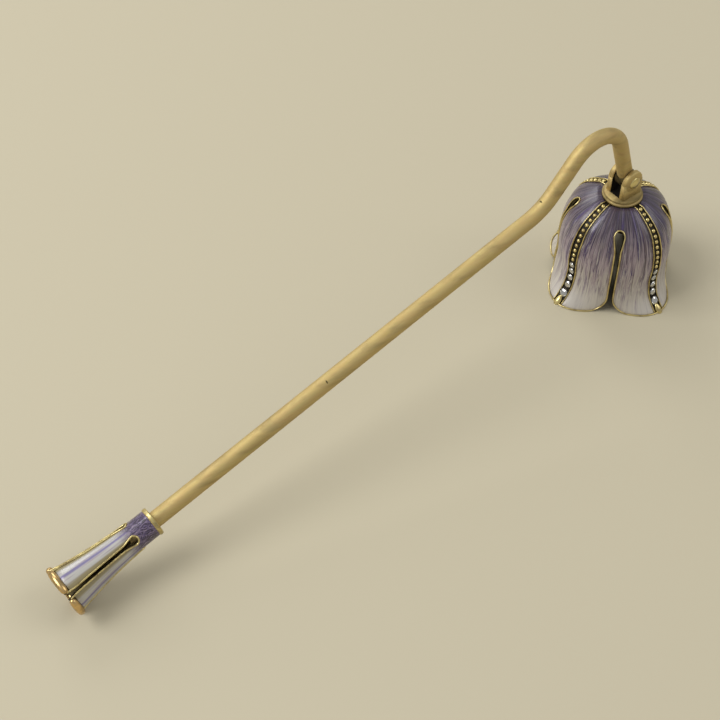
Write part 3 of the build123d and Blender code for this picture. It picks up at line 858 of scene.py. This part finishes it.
class SNUFFER_OT_beads_and_tips(Operator):
    """Sets the beads along each rib and the pointed tip at its end"""
    bl_idname = "snuffer.beads_and_tips"
    bl_label = "Beads and tips"

    def execute(self, context):
        s = context.scene.snuffer_bell
        length, at = rib_places()
        place, radius = crystal_places()[-1]
        first = place + radius + s.crystal_gap + s.bead
        step = (length - LAST_BEAD_GAP - first) / (s.beads - 1)
        gold = rubbed_gold("rubbed gold-tone beads")
        bm = bmesh.new()
        for angle in PETAL_ANGLES:
            for i in range(s.beads):
                point, outward = at(first + step * i)
                bmesh.ops.create_uvsphere(bm, u_segments=16, v_segments=10, radius=s.bead,
                                          matrix=set_on(angle, point - outward * s.bead_sink, outward))
        finish_piece(bm, "rib_beads", "bell", gold)

        point, outward = at(0)
        along = (at(2 * MM)[0] - point).normalized()
        centre = point + along * s.tip_length * TIP_CENTRE
        bm = bmesh.new()
        for angle in PETAL_ANGLES:
            for vert in bmesh.ops.create_uvsphere(bm, u_segments=24, v_segments=16, radius=0.5)["verts"]:
                x, y, z = vert.co
                narrow = 1 - TIP_NARROWING * max(0.0, 2 * x)
                spot = (centre + along * x * s.tip_length + SIDEWAYS * y * narrow * s.tip_width
                        + outward * z * narrow * s.tip_height)
                spot.z = max(spot.z, TIP_CLEAR)
                spot.x = min(spot.x, s.radius * RIB_SHARES[0] + s.tip_overhang)
                vert.co = petal_turn(angle) @ spot
        finish_piece(bm, "rib_tips", "bell", gold)
        return {"FINISHED"}


# A cut stone from its culet to its table: corners, share of its radius, height over the rib in
# millimetres, and turn in steps.
CUT = ((8, 0.45, -0.42, 0), (16, 0.98, 0.02, 0), (16, 0.98, 0.1, 0), (8, 0.8, 0.33, 0.5), (8, 0.52, 0.46, 0))

# A collet: the heights of its foot and its lip over the rib, and how far it laps over the stone.
COLLET_FOOT = -0.6 * MM
COLLET_LIP = 0.2 * MM
COLLET_LAP = 0.04 * MM


class SNUFFER_OT_crystals(Operator):
    """Sets each crystal in its blackened collet"""
    bl_idname = "snuffer.crystals"
    bl_label = "Crystals and collets"

    def execute(self, context):
        s = context.scene.snuffer_bell
        _, at = rib_places()
        bm = bmesh.new()
        for angle in PETAL_ANGLES:
            for place, radius in crystal_places():
                outer, inner = radius + s.bezel, radius - COLLET_LAP
                profile = ((outer, COLLET_FOOT), (outer, COLLET_LIP * 0.6), (outer - s.bezel / 2, COLLET_LIP),
                           (inner, COLLET_LIP * 0.7), (inner, COLLET_FOOT))
                spun(bm, profile, set_on(angle, *at(place)), steps=20)
        finish_piece(bm, "crystal_collets", "bell", collet_metal())

        glass = cut_crystal()
        for side, angle in zip(SIDE_NAMES, PETAL_ANGLES):
            for number, (place, radius) in enumerate(crystal_places(), start=1):
                bm = bmesh.new()
                for corners, share, height, turn in CUT:
                    for i in range(corners):
                        way = 2 * pi * (i + turn) / corners
                        bm.verts.new((radius * share * cos(way), radius * share * sin(way), height * MM))
                bmesh.ops.convex_hull(bm, input=bm.verts)
                bmesh.ops.transform(bm, matrix=set_on(angle, *at(place)), verts=bm.verts)
                name = f"crystal_{side}_{number}"
                finish_piece(bm, f"cut_{name}", "bell", glass, [name], smooth=False)
        return {"FINISHED"}


# The bell's enamel stands back from the slot by this share of the rim's width, starts this far over
# the mouth, and runs this far under the band's lines.
ENAMEL_BACK = 0.45
ENAMEL_FOOT = 0.25 * MM
UNDER_LINES = 0.1 * MM

# The enamel's strokes run on by this much over the crown.
CROWN_STROKES = 1.4 * MM

# How deep each enamel lies at its edge, how far it bulges from there, and over what distance.
BELL_PILLOW = (0.24 * MM, 0.3 * MM, 0.55 * MM)
FLOWER_PILLOW = (0.2 * MM, 0.2 * MM, 0.4 * MM)


class SNUFFER_OT_bell_enamel(Operator):
    """Fires the four fields of enamel between the bell's ribs"""
    bl_idname = "snuffer.bell_enamel"
    bl_label = "Bell enamel"

    def execute(self, context):
        s = context.scene.snuffer_bell
        form = bell_form()
        enamel = petal_enamel()
        grow = s.rim * ENAMEL_BACK
        rows = over_crown(bell_rows(form, grow, ENAMEL_FOOT, s.height - UNDER_CROWN))

        def pillow(height, turn):
            from_band = form.radius(height, turn) * sin(turn) - (s.band / 2 - UNDER_LINES)
            edge = min(form.from_slot(height, turn, grow), from_band, height - ENAMEL_FOOT)
            return enamel_sink(edge, *BELL_PILLOW)

        for field, name in enumerate(FIELD_NAMES):
            bm = bmesh.new()
            for angle, flip in ((PETAL_ANGLES[field], 1), (PETAL_ANGLES[field] + PETAL_TURN, -1)):
                def turn_at(share, height):
                    start = band_edge(form, height)
                    return start + (form.slot_edge(height, form.gap(height, grow)) - start) * share

                def at(share, row):
                    height, pull = rows[row]
                    turn = turn_at(share, height)
                    point = form.point(height, turn, pillow(height, turn), LEVEL_FOOT)
                    return petal_turn(angle, flip) @ drawn_in(point, pull)

                # Each field has its own stretch of the map, so that no two have the same strokes.
                def uv(share, row):
                    height, pull = rows[row]
                    aside = turn_at(share, height) / SLOT_TURN - 1
                    return field * 2 + 1 + flip * aside, (height + CROWN_STROKES * pull) / s.height

                sheet(bm, 28, len(rows) - 1, at, uv)
            bmesh.ops.remove_doubles(bm, verts=bm.verts, dist=0.005 * MM)
            finish_piece(bm, f"field_{name}", "bell", enamel, [f"enamel_{name}"])
        return {"FINISHED"}


# Half of the thickness of the dark skins of painted shade inside the fork. An ear's foot also keeps inside
# the ear by it.
SKIN = 0.02 * MM


class SNUFFER_OT_fork_and_pins(Operator):
    """Finishes the fork on the crown, its screw and the rivet that the bell swings on"""
    bl_idname = "snuffer.fork_and_pins"
    bl_label = "Fork and pins"

    def execute(self, context):
        s = context.scene.snuffer_bell
        f = context.scene.snuffer_fork
        brass = satin_brass("satin brass of the fork", 0.2)
        low, middle, top = s.height, s.height + f.collar_height / 2, s.height + f.collar_height
        inner, soft = s.collar - f.collar_step, f.collar_soft
        profile = (
            (0, low), (s.collar - soft, low), (s.collar, low + soft), (s.collar, middle - soft / 2),
            (s.collar - soft / 2, middle), (inner - soft / 2, middle + soft / 3), (inner, middle + soft),
            (inner, top - soft), (inner - soft, top), (0, top),
        )
        bm = bmesh.new()
        spun(bm, profile, Matrix())
        mottled = satin_brass("mottled brass of the collar", 0.8, context.scene.snuffer_colours.collar_shade)
        finish_piece(bm, "fork_collar", "bell", mottled, ["yoke"])

        near, far = f.gap / 2, f.gap / 2 + f.ear
        edge, round_end, head = f.ear_soft, f.ear_radius, f.head_radius
        ear_profile = (
            (0, near), (round_end - edge / 2, near), (round_end, near + edge / 2), (round_end, far - edge),
            (round_end - edge / 3, far - edge / 3), (round_end - edge, far),
            (round_end * 0.6, far + f.dome * 0.8), (0, far + f.dome),
        )
        head_profile = (
            (0, far - edge), (head, far - edge), (head, far + f.dome + 0.15 * MM),
            (head * 0.93, far + f.head * 0.6), (head * 0.72, far + f.head * 0.88),
            (head * 0.36, far + f.head), (0, far + f.head),
        )
        bm, rivet = bmesh.new(), bmesh.new()
        for way in (1, -1):
            stand = Matrix.Translation(PIVOT) @ Matrix.Rotation(-way * pi / 2, 4, "X")
            spun(bm, ear_profile, stand)
            spun(rivet, head_profile, stand)
            half = round_end - SKIN
            foot = box(bm, (-half, way * near, middle), (half, way * (far - SKIN), PIVOT.z))
            foot_edges = {side for vert in foot for side in vert.link_edges}
            soften(bm, [side for side in foot_edges if abs(side.verts[0].co.z - side.verts[1].co.z) > MM],
                   edge * 0.7)
        finish_piece(bm, "fork_ears", "bell", brass)
        pin(rivet, PIVOT, f.rivet, 2 * near, 32)
        finish_piece(rivet, "rivet", "bell", rubbed_gold("rubbed brass of the rivet"),
                     ["pivot_rivet"])

        # Thin dark skins over the collar's top between the ears and over the ears' inner faces: painted shade
        # in the fork's gap.
        bm = bmesh.new()
        half = round_end - edge / 2
        box(bm, (-round_end, -near, top - SKIN), (round_end, near, top + SKIN))
        for way in (1, -1):
            pin(bm, PIVOT + SIDEWAYS * way * near, round_end - edge, 2 * SKIN)
            box(bm, (-half, way * near - SKIN, top), (half, way * near + SKIN, PIVOT.z))
        finish_piece(bm, "fork_shadow", "bell", black_oxide_and_fork_shade("painted shade in the fork"),
                     smooth=False)
        dress("bell_screw", brass)
        return {"FINISHED"}


# The nicks: the frame of the rod's line each lies at, and its way from there, aside and up.
NICKS = ((19, -0.5, 0.87), (58, 0.15, 1.0))

# The rounding of the tongue's eye.
EYE_SOFT = 0.3 * MM


def bend(before, corner, after, radius, steps):
    """Points of the arc that rounds a corner."""
    back, ahead = (before - corner).normalized(), (after - corner).normalized()
    half = back.angle(ahead) / 2
    centre = corner + (back + ahead).normalized() * (radius / sin(half))
    first = corner + back * (radius / tan(half)) - centre
    axis = back.cross(ahead).normalized()
    return [centre + Matrix.Rotation(-(pi - 2 * half) * i / steps, 3, axis) @ first for i in range(steps + 1)]


class SNUFFER_OT_rod(Operator):
    """Bends the rod and flattens its end to the tongue that the bell hangs on"""
    bl_idname = "snuffer.rod"
    bl_label = "Rod"

    def execute(self, context):
        r = context.scene.snuffer_rod
        start = flower_placing() @ Vector((0, 0, r.socket))
        elbow_height = flower_face().z + (context.scene.snuffer_flower.reach - r.elbow_reach) * tan(r.slope)
        elbow = Vector((-r.elbow_reach, 0, elbow_height))
        crest = Vector((-r.crest_reach, 0, r.crest_height))
        elbow_bend = bend(start, elbow, crest, r.elbow_radius, 28)
        crest_bend = bend(elbow, crest, PIVOT, r.crest_radius, 40)
        points = [start.lerp(elbow_bend[0], i / 40) for i in range(40)]
        points += elbow_bend + [elbow_bend[-1].lerp(crest_bend[0], i / 6) for i in range(1, 6)] + crest_bend
        round_rows = len(points) - 1
        points += [crest_bend[-1].lerp(PIVOT, i / 16) for i in range(1, 17)]

        # Half of the rod's thickness: its radius, and less past the last bend, towards the tongue.
        flats = [r.radius] * round_rows
        for point in points[round_rows:]:
            rest = max(0.0, (PIVOT - point).length - r.tongue_length)
            flats.append(r.tongue / 2 + rest * (r.radius - r.tongue / 2) / r.run_out)
        frames = frames_along([(point, SIDEWAYS) for point in points])
        bm = bmesh.new()
        sweep(bm, frames, r.radius, r.radius, 40, flats)
        close_ends(bm)
        nicks = []
        for row, aside, up in NICKS:
            point, along, outward = frames[row]
            nicks.append(point + (outward * aside + along.cross(outward) * up).normalized() * r.radius)
        finish_piece(bm, "rod", "handle", satin_brass(nicks=nicks), ["handle_rod"])

        # The eye is the rod's own brass, given the blackened finish as painted shade between the ears.
        bm = bmesh.new()
        pin(bm, PIVOT, r.eye, r.tongue)
        rims = [edge for edge in bm.edges if abs(edge.verts[0].co.y - edge.verts[1].co.y) < 0.001 * MM]
        soften(bm, rims, EYE_SOFT)
        finish_piece(bm, "rod_eye", "handle", blackened_brass_and_eye_shade("painted shade on the eye"),
                     smooth=False)
        return {"FINISHED"}


# The small flower's form


def flower_face():
    """The centre of the flower's collar, so that its lowest lip touches the table."""
    s, slope = bpy.context.scene.snuffer_flower, bpy.context.scene.snuffer_rod.slope
    height = (s.length - s.lip) * sin(slope) + s.end_radius * cos(slope) + s.lip
    return Vector((-s.reach, 0, height))


def flower_placing():
    """Stands a flower drawn up +Z from its collar on the end of the rod, one petal down."""
    slope = bpy.context.scene.snuffer_rod.slope
    axis = Vector((-cos(slope), 0, -sin(slope)))
    turn = Matrix((SIDEWAYS, axis.cross(SIDEWAYS), axis)).transposed().to_4x4()
    return Matrix.Translation(flower_face()) @ turn


def form_placing():
    """Stands the flower's form, which is drawn from the petals' ends up, in the same place."""
    length = bpy.context.scene.snuffer_flower.length
    return flower_placing() @ Matrix.Translation((0, 0, length)) @ Matrix.Diagonal((1, 1, -1, 1))


def flower_form():
    """The flower upside down, its petals' ends at the foot, so that its slots open there as the bell's do."""
    s = bpy.context.scene.snuffer_flower
    # The flower's side is the arc through its neck, its waist and its lips.
    lip_place = s.length - s.lip
    arc = ((s.collar_length, s.neck_radius), ((s.collar_length + lip_place) / 2, s.waist_radius),
           (lip_place, s.end_radius))
    (x1, y1), (x2, y2), (x3, y3) = arc
    squares = [x * x + y * y for x, y in arc]
    share = 2 * (x1 * (y2 - y3) + x2 * (y3 - y1) + x3 * (y1 - y2))
    centre_x = (squares[0] * (y2 - y3) + squares[1] * (y3 - y1) + squares[2] * (y1 - y2)) / share
    centre_y = (squares[0] * (x3 - x2) + squares[1] * (x1 - x3) + squares[2] * (x2 - x1)) / share
    bow = hypot(x1 - centre_x, y1 - centre_y)

    def side(height):
        return centre_y - sqrt(max(0.0, bow**2 - (s.length - height - centre_x) ** 2))

    def gap(height, grow):
        place = s.length - height
        round_start, half, mouth = s.slot_round + grow, s.slot_half + grow, s.slot_mouth + grow
        if place <= s.slot_start:
            return sqrt(max(0.0, round_start**2 - (place - s.slot_start) ** 2))
        if place <= s.slot_neck:
            return round_start + (half - round_start) * (place - s.slot_start) / (s.slot_neck - s.slot_start)
        flare = max(0.0, place - (s.length - s.slot_flare)) / s.slot_flare
        return half + (mouth - half) * flare**1.6

    return PetalForm(side, side, gap, s.length, s.length - s.slot_start, s.slot_round)


# The rolled lips reach past the petals' corners by this turn, in radians. Their ends are so thin that
# they close in a point.
LIP_OVERLAP = 0.02
LIP_POINT = 0.0005 * MM

# The collar's rounding, and its clearance round the rod.
COLLAR_SOFT = 0.25 * MM
ROD_CLEARANCE = 0.03 * MM


class SNUFFER_OT_flower(Operator):
    """Casts the small flower with its collar, its slotted petals and their rolled lips"""
    bl_idname = "snuffer.flower"
    bl_label = "Handle flower"

    def execute(self, context):
        s = context.scene.snuffer_flower
        form = flower_form()
        stand = flower_placing()
        gold = rubbed_gold("rubbed gold-tone flower")
        bm = bmesh.new()
        # The petals end inside their rolled lips.
        rows = form.rows(0, s.lip * 0.6, s.length - s.collar_length)
        form.shell(bm, rows, 10, s.recess, s.wall, 0)
        bmesh.ops.transform(bm, matrix=form_placing(), verts=bm.verts)
        finish_piece(bm, "flower_casting", "handle",
                     blackened_brass_and_eye_shade("blackened brass of the flower"), ["handle_flower"])

        grow = s.rim * RIM_BACK
        outline = form.round_end(grow)
        for i in range(1, 41):
            height = form.slot_end + (s.lip - form.slot_end) * i / 40
            outline.append((height, form.gap(height, grow)))
        edge = [(height, form.slot_edge(height, aside)) for height, aside in outline]
        places = [(form.point(height, turn), form.outward(height, turn)) for height, turn in edge]
        bm = bmesh.new()
        for angle, flip in HALF_PETALS:
            sweep(bm, frames_along(turned(places, angle, flip)), s.rim / 2, s.rim_height, 8)
        bmesh.ops.transform(bm, matrix=form_placing(), verts=bm.verts)
        finish_piece(bm, "flower_rims", "handle", gold)

        # Each lip is a roll that is a little thinner towards its ends and closes in a blunt round.
        reach_turn = SLOT_TURN - asin(s.slot_mouth / s.end_radius) + LIP_OVERLAP
        shares = [i / 12 - 1 for i in range(25)]
        widths = [s.lip * sqrt(1 - share**8) * (1 - 0.12 * share**2) + LIP_POINT for share in shares]
        lip = []
        for share in shares:
            way = Vector((cos(reach_turn * share), sin(reach_turn * share), 0))
            lip.append((way * s.end_radius + UP * (s.length - s.lip), way))
        bm = bmesh.new()
        for angle in PETAL_ANGLES:
            sweep(bm, frames_along(turned(lip, angle)), widths, widths, 16)
        bmesh.ops.transform(bm, matrix=stand, verts=bm.verts)
        lip_gold = rubbed_gold("rubbed warm gold of the lips", context.scene.snuffer_colours.warm_gold)
        finish_piece(bm, "flower_lips", "handle", lip_gold)

        inner = context.scene.snuffer_rod.radius + ROD_CLEARANCE
        outer, length = s.collar_radius, s.collar_length
        profile = ((inner, 0), (outer - COLLAR_SOFT, 0), (outer, COLLAR_SOFT), (outer, length - COLLAR_SOFT),
                   (outer - COLLAR_SOFT, length), (inner, length))
        bm = bmesh.new()
        spun(bm, profile, stand, ring=True)
        finish_piece(bm, "flower_collar", "handle", gold, smooth=False)
        return {"FINISHED"}


class SNUFFER_OT_flower_enamel(Operator):
    """Fires the enamel of the small flower, in one piece round its neck"""
    bl_idname = "snuffer.flower_enamel"
    bl_label = "Flower enamel"

    def execute(self, context):
        s = context.scene.snuffer_flower
        form = flower_form()
        grow = s.rim * RIM_BACK
        rows = form.rows(grow, s.enamel_end, s.length - s.collar_length)
        bm = bmesh.new()
        for angle, flip in HALF_PETALS:
            def turn_at(share, row):
                return share * form.slot_edge(rows[row], form.gap(rows[row], grow))

            def at(share, row):
                turn = turn_at(share, row)
                edge = min(form.from_slot(rows[row], turn, grow), rows[row] - s.enamel_end)
                point = form.point(rows[row], turn, enamel_sink(edge, *FLOWER_PILLOW))
                return petal_turn(angle, flip) @ point

            def uv(share, row):
                return flip * turn_at(share, row) / SLOT_TURN, 1 - rows[row] / s.length

            sheet(bm, 12, len(rows) - 1, at, uv)
        bmesh.ops.remove_doubles(bm, verts=bm.verts, dist=0.005 * MM)
        bmesh.ops.transform(bm, matrix=form_placing(), verts=bm.verts)
        finish_piece(bm, "flower_enamel", "handle", flower_enamel(), ["handle_enamel"])
        return {"FINISHED"}


# The lights: where each hangs and its side in metres, and its power in watts.
LAMPS = (
    ("window", (-0.9, 0.5, 1.1), 0.9, 15),
    ("fill", (0.9, -0.7, 1.2), 1.0, 6),
    ("back", (0.2, 1.3, 0.8), 0.7, 5),
)
ROOM_LIGHT = (1, 0.99, 0.96)
ROOM_STRENGTH = 0.45


class SNUFFER_OT_stage(Operator):
    """Lays the pale floor, hangs the soft lights and sets the camera"""
    bl_idname = "snuffer.stage"
    bl_label = "Stage"

    def execute(self, context):
        scene = context.scene
        s = scene.snuffer_stage
        bm = bmesh.new()
        bmesh.ops.create_grid(bm, x_segments=1, y_segments=1, size=s.floor / 2)
        mesh = bpy.data.meshes.new("floor")
        bm.to_mesh(mesh)
        bm.free()
        floor = bpy.data.objects.new("floor", mesh)
        scene.collection.objects.link(floor)
        made, tree = material("plain pale floor")
        plain = add(tree, "BsdfPrincipled", {"Base Color": scene.snuffer_colours.cloth, "Roughness": 0.9,
                                             "Specular IOR Level": 0.1})
        add(tree, "OutputMaterial", (plain,))
        mesh.materials.append(made)

        for name, place, side, power in LAMPS:
            light = bpy.data.lights.new(name, "AREA")
            light.size, light.energy = side, power
            lamp = bpy.data.objects.new(name, light)
            lamp.location = place
            lamp.rotation_euler = Vector(place).to_track_quat("Z", "Y").to_euler()
            scene.collection.objects.link(lamp)
        world = bpy.data.worlds.new("room")
        world.use_nodes = True
        sky = world.node_tree.nodes["Background"]
        sky.inputs["Color"].default_value = (*ROOM_LIGHT, 1)
        sky.inputs["Strength"].default_value = ROOM_STRENGTH
        scene.world = world

        camera = bpy.data.cameras.new("camera")
        camera.lens, camera.sensor_width = s.lens, 36
        eye = bpy.data.objects.new("camera", camera)
        turn, rise = s.camera_azimuth, s.camera_elevation
        right = Vector((cos(turn), sin(turn), 0))
        back = Vector((sin(turn) * cos(rise), -cos(turn) * cos(rise), sin(rise)))
        axes = Matrix((right, back.cross(right), back)).transposed().to_4x4()
        eye.matrix_world = Matrix.Translation(s.camera_place) @ axes
        scene.collection.objects.link(eye)
        scene.camera = eye
        scene.view_settings.view_transform = "Standard"
        return {"FINISHED"}


OPERATORS = (
    SNUFFER_OT_bell_casting, SNUFFER_OT_bell_lines, SNUFFER_OT_beads_and_tips, SNUFFER_OT_crystals,
    SNUFFER_OT_bell_enamel, SNUFFER_OT_fork_and_pins, SNUFFER_OT_rod, SNUFFER_OT_flower,
    SNUFFER_OT_flower_enamel, SNUFFER_OT_stage,
)
GROUPS = (
    (BellSizes, "snuffer_bell"), (ForkSizes, "snuffer_fork"), (FlowerSizes, "snuffer_flower"),
    (RodSizes, "snuffer_rod"), (Colours, "snuffer_colours"), (StageSizes, "snuffer_stage"),
)


class SNUFFER_PT_pieces(Panel):
    """Lists the pieces of the snuffer in the order in which they are made, and the sizes and colours"""
    bl_idname = "SNUFFER_PT_pieces"
    bl_label = "Candle snuffer"
    bl_space_type = "VIEW_3D"
    bl_region_type = "UI"
    bl_category = "Snuffer"

    def draw(self, context):
        for operator in OPERATORS:
            self.layout.operator(operator.bl_idname)
        for cls, name in GROUPS:
            for prop in cls.__annotations__:
                self.layout.prop(getattr(context.scene, name), prop)


def register():
    for group, name in GROUPS:
        bpy.utils.register_class(group)
        setattr(bpy.types.Scene, name, PointerProperty(type=group))
    for cls in (*OPERATORS, SNUFFER_PT_pieces):
        bpy.utils.register_class(cls)


def unregister():
    for cls in reversed((*OPERATORS, SNUFFER_PT_pieces)):
        bpy.utils.unregister_class(cls)
    for group, name in reversed(GROUPS):
        delattr(bpy.types.Scene, name)
        bpy.utils.unregister_class(group)


def main():
    register()
    for operator in OPERATORS:
        getattr(bpy.ops.snuffer, operator.bl_idname.split(".")[1])()


if __name__ == "__main__":
    main()
